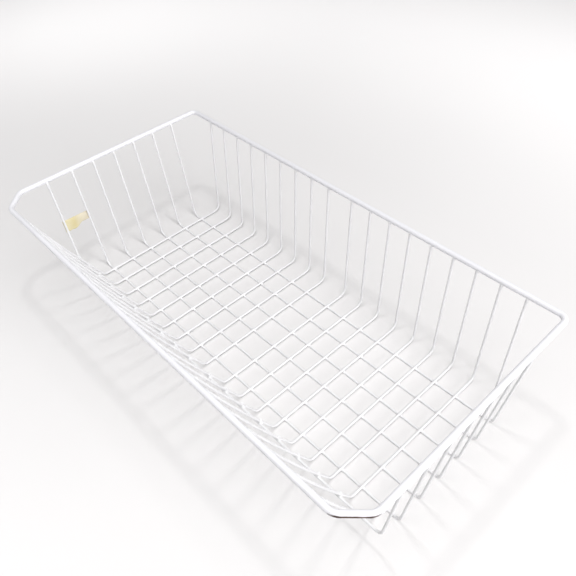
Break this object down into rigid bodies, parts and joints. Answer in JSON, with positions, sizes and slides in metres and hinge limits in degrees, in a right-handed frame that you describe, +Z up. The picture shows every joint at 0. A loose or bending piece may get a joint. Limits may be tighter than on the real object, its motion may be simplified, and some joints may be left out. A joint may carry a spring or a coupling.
{
  "type": "wire freezer basket",
  "caption": "Long shallow basket of coated steel wire with a thick rim ring, one leaning long wall, cut front corners and an open mesh floor.",
  "frame": {"origin": "on the resting plane, below the middle of the rim's outline", "axes": "+X along the basket's length, +Y towards the upright long wall (the leaning long wall with the cut corners is at -Y), +Z up out of the open mouth"},
  "size_m": [0.5182, 0.2656, 0.1368],
  "materials": {
    "rim_coating": "satin white baked coating over steel wire",
    "wire_coating": "satin white baked coating over steel wire",
    "slip": "matt pale yellow blank paper"
  },
  "bodies": {
    "root": {"rim_wire": "rim_coating", "cross_wire_01": "wire_coating", "cross_wire_02": "wire_coating", "cross_wire_03": "wire_coating", "cross_wire_04": "wire_coating", "cross_wire_05": "wire_coating", "cross_wire_06": "wire_coating", "cross_wire_07": "wire_coating", "cross_wire_08": "wire_coating", "cross_wire_09": "wire_coating", "cross_wire_10": "wire_coating", "cross_wire_11": "wire_coating", "cross_wire_12": "wire_coating", "cross_wire_13": "wire_coating", "cross_wire_14": "wire_coating", "cross_wire_15": "wire_coating", "cross_wire_16": "wire_coating", "cross_wire_17": "wire_coating", "cross_wire_18": "wire_coating", "long_wire_01": "wire_coating", "long_wire_02": "wire_coating", "long_wire_03": "wire_coating", "long_wire_04": "wire_coating", "long_wire_05": "wire_coating", "long_wire_06": "wire_coating", "long_wire_07": "wire_coating", "paper_slip": "slip"}
  },
  "joints": []
}
